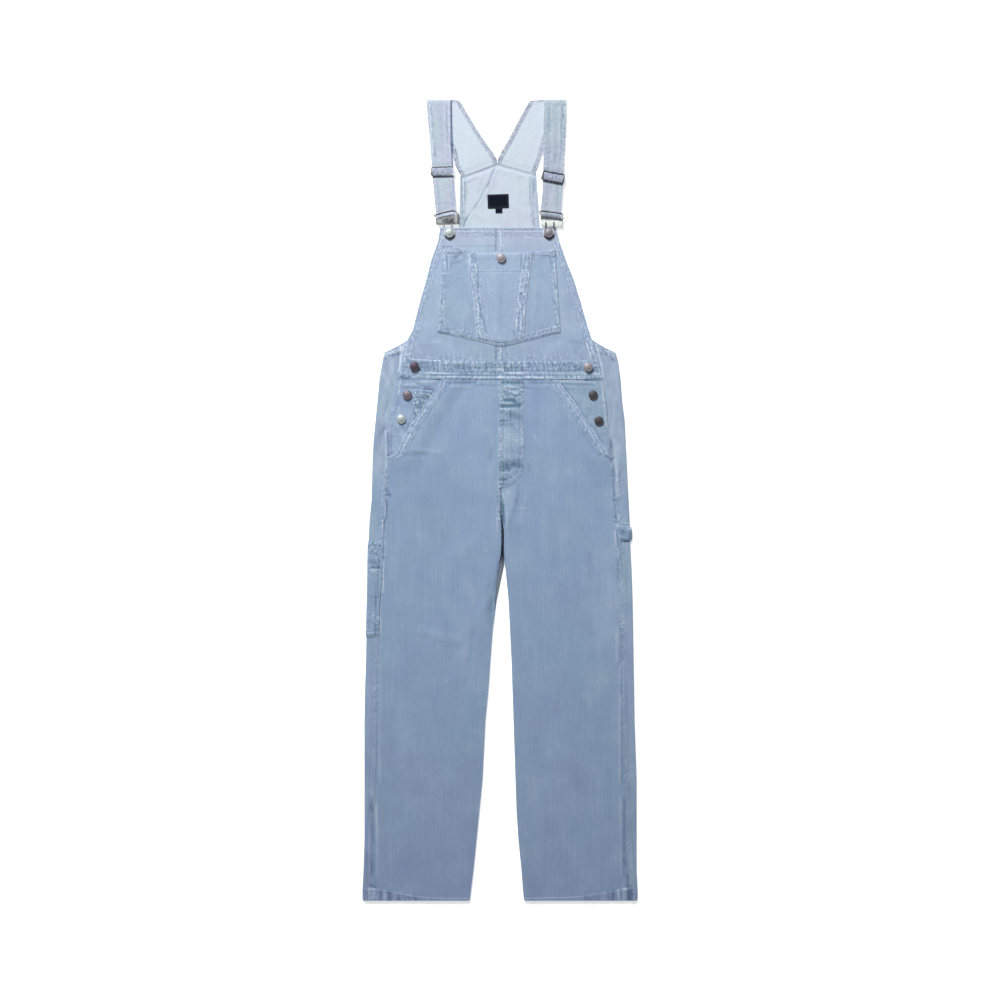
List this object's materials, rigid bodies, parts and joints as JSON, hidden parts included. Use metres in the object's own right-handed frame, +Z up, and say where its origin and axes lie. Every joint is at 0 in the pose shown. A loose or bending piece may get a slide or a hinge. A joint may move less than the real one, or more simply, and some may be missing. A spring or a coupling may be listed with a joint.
{
  "type": "denim dungarees",
  "caption": "Washed light blue denim dungarees with bib pocket, adjustable clasp straps and side buttons, lying flat with the straps folded forward.",
  "frame": {"origin": "on the surface the garment lies on, under the middle of its bounding box", "axes": "+X towards the wearer's left side, +Y from the hems to the shoulders, +Z up from the surface, out of the garment's front"},
  "size_m": [0.55, 1.6014, 0.0117],
  "materials": {
    "denim": "washed light blue twill with pale raised seams",
    "denim_inside": "pale inner face of the twill",
    "label_cloth": "woven dark navy damask",
    "antique_copper": "antique copper plate, satin",
    "pewter": "worn silver plate",
    "slider_steel": "dark nickel wire",
    "buckle_steel": "satin nickel"
  },
  "bodies": {
    "root": {"leg_back_right": "denim", "leg_front_right": "denim", "side_front_right": "denim", "bib_front_right": "denim", "strap_right": "denim", "slider_right": "slider_steel", "buckle_right": "buckle_steel", "leg_back_left": "denim", "leg_front_left": "denim", "side_front_left": "denim", "bib_front_left": "denim", "strap_left": "denim", "slider_left": "slider_steel", "buckle_left": "buckle_steel", "bib_pocket": "denim", "bib_pocket_centre": "denim", "waistband": "denim", "fly": "denim", "coin_pocket": "denim", "tool_pocket": "denim", "hammer_loop": "denim", "bib_back": "denim_inside", "label": "label_cloth", "size_tab": "label_cloth", "button_waist_right": "antique_copper", "button_waist_left": "antique_copper", "button_side_right_upper": "antique_copper", "button_side_left_upper": "antique_copper", "button_side_left_lower": "antique_copper", "button_bib_pocket": "antique_copper", "button_bib_right": "pewter", "button_bib_left": "pewter", "button_side_right_lower": "pewter"}
  },
  "joints": []
}
